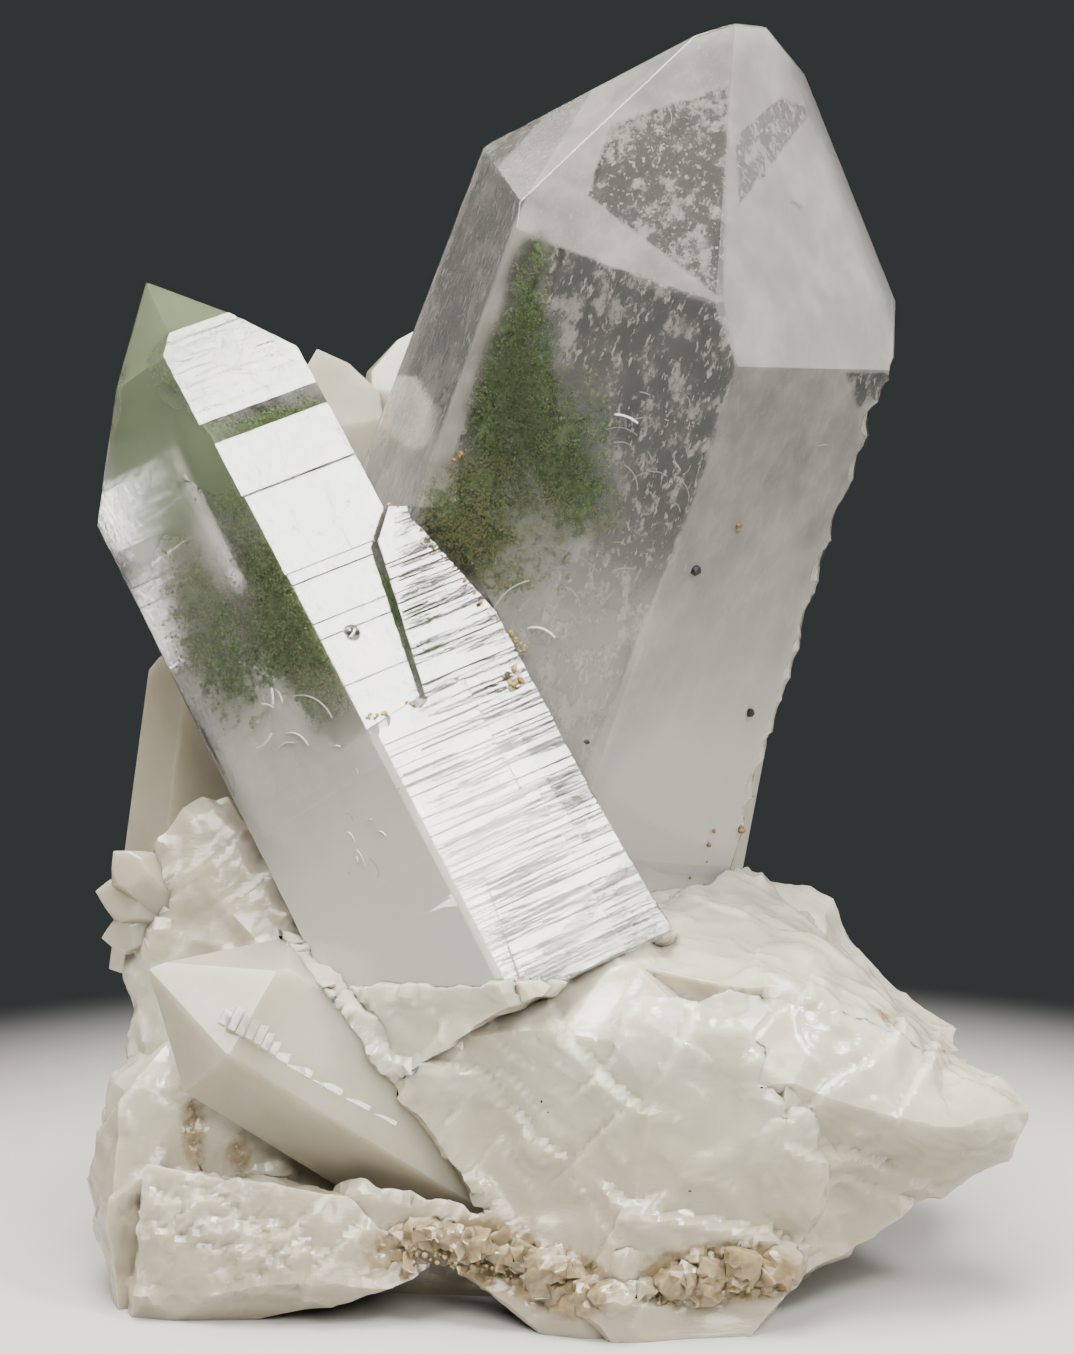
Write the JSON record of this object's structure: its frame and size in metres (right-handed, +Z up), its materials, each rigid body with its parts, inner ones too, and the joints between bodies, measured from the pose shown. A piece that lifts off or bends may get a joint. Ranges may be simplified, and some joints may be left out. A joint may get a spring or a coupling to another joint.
{
  "type": "chlorite quartz crystal cluster",
  "caption": "Natural quartz cluster: a tall clear point and a lower leaning point with green inclusions, grown on a broken milky quartz base that it rests on.",
  "frame": {"origin": "middle of the cluster's footprint box, on the surface it rests on", "axes": "+Z up, +X to the right and -Y to the front as the picture shows the cluster"},
  "size_m": [0.0492, 0.0392, 0.0654],
  "materials": {
    "clear_quartz": "glossy crystal faces with fine level growth lines, clear above and cloudy towards the root",
    "milky_quartz": "broken milky quartz, waxy, with small glints on the break edges and brown iron stain low down",
    "chlorite": "fine dull green mineral grains enclosed in the crystal",
    "iron_stain": "dull ochre and dark brown specks"
  },
  "bodies": {
    "root": {"quartz_cluster": "clear_quartz"}
  },
  "joints": []
}
